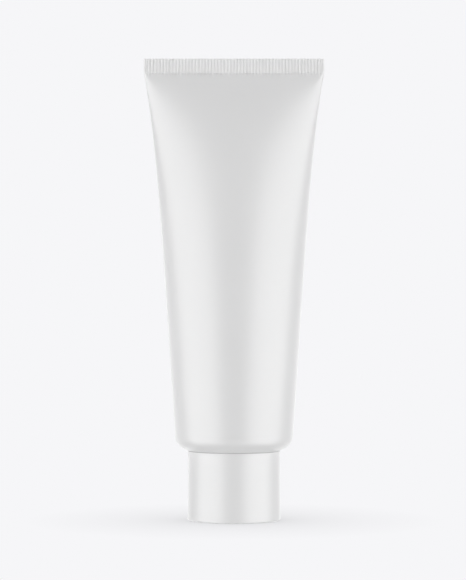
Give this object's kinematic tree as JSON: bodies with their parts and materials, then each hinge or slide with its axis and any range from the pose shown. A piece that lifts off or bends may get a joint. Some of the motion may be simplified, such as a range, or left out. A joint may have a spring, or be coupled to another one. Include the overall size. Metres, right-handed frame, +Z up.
{
  "type": "shaving cream tube",
  "caption": "White matte squeeze tube for shaving cream, with a ribbed flat crimp, a threaded neck and a plain cylindrical screw cap that it stands on.",
  "frame": {"origin": "middle of the cap's base, on the plane that the tube stands on", "axes": "+Z up the tube to the crimp, +X along the flat crimp, -Y towards the viewer of the front face"},
  "size_m": [0.0622, 0.0406, 0.1588],
  "materials": {
    "sleeve_plastic": "satin",
    "head_plastic": "satin",
    "cap_plastic": "satin",
    "insert_plastic": "matte",
    "liner_foam": "matte",
    "seal_foil": "satin",
    "cream": "satin"
  },
  "bodies": {
    "cap": {"cap_shell": "cap_plastic", "cap_insert": "insert_plastic"},
    "liner": {"cap_liner": "liner_foam"},
    "tube": {"sleeve": "sleeve_plastic", "head": "head_plastic", "orifice_seal": "seal_foil", "cream_fill": "cream"}
  },
  "joints": [
    {"name": "cap_turn", "type": "hinge", "parent": "cap", "child": "liner", "pos_m": [0, 0, 0.0135], "axis": [0, 0, 1], "range_deg": [0, 1080]},
    {"name": "tube_lift", "type": "slide", "parent": "liner", "child": "tube", "axis": [0, 0, 1], "range_m": [0, 0.0096]}
  ],
  "couplings": [
    {"joint": "tube_lift", "follows": "cap_turn", "m_per_rad": 0.00050532}
  ]
}
